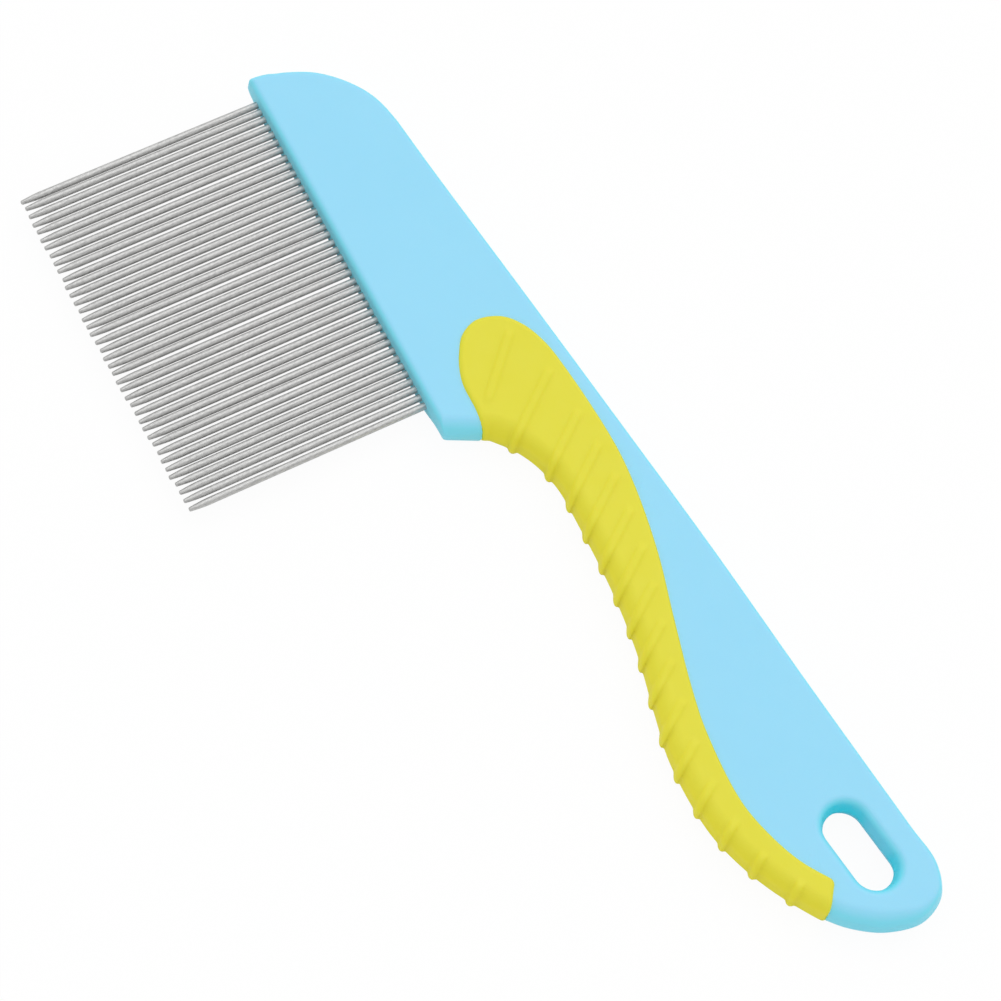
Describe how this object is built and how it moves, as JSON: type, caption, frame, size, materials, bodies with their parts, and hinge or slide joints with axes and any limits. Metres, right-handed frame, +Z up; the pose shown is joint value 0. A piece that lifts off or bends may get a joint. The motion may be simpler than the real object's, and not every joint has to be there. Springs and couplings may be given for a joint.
{
  "type": "flea comb",
  "caption": "Flat hand comb with a moulded handle and head, a soft ribbed overmoulded grip, a hang slot and one slanted row of long tapered round steel pins.",
  "frame": {"origin": "middle of the footprint of the comb lying flat, at its lowest point, which is the crown of the grip's back ribs", "axes": "+X along the head's back edge from the head to the hanging end, +Y away from the pins, +Z up out of the front face"},
  "size_m": [0.1625, 0.0616, 0.0073],
  "materials": {
    "blue_moulding": "satin injection-moulded plastic, light blue",
    "yellow_soft_grip": "matt soft overmoulded elastomer, yellow",
    "pin_steel": "drawn and polished stainless wire"
  },
  "bodies": {
    "root": {"handle_body": "blue_moulding", "soft_grip": "yellow_soft_grip", "pin_01": "pin_steel", "pin_02": "pin_steel", "pin_03": "pin_steel", "pin_04": "pin_steel", "pin_05": "pin_steel", "pin_06": "pin_steel", "pin_07": "pin_steel", "pin_08": "pin_steel", "pin_09": "pin_steel", "pin_10": "pin_steel", "pin_11": "pin_steel", "pin_12": "pin_steel", "pin_13": "pin_steel", "pin_14": "pin_steel", "pin_15": "pin_steel", "pin_16": "pin_steel", "pin_17": "pin_steel", "pin_18": "pin_steel", "pin_19": "pin_steel", "pin_20": "pin_steel", "pin_21": "pin_steel", "pin_22": "pin_steel", "pin_23": "pin_steel", "pin_24": "pin_steel", "pin_25": "pin_steel", "pin_26": "pin_steel", "pin_27": "pin_steel", "pin_28": "pin_steel", "pin_29": "pin_steel", "pin_30": "pin_steel", "pin_31": "pin_steel", "pin_32": "pin_steel", "pin_33": "pin_steel", "pin_34": "pin_steel", "pin_35": "pin_steel", "pin_36": "pin_steel", "pin_37": "pin_steel", "pin_38": "pin_steel", "pin_39": "pin_steel", "pin_40": "pin_steel"}
  },
  "joints": []
}
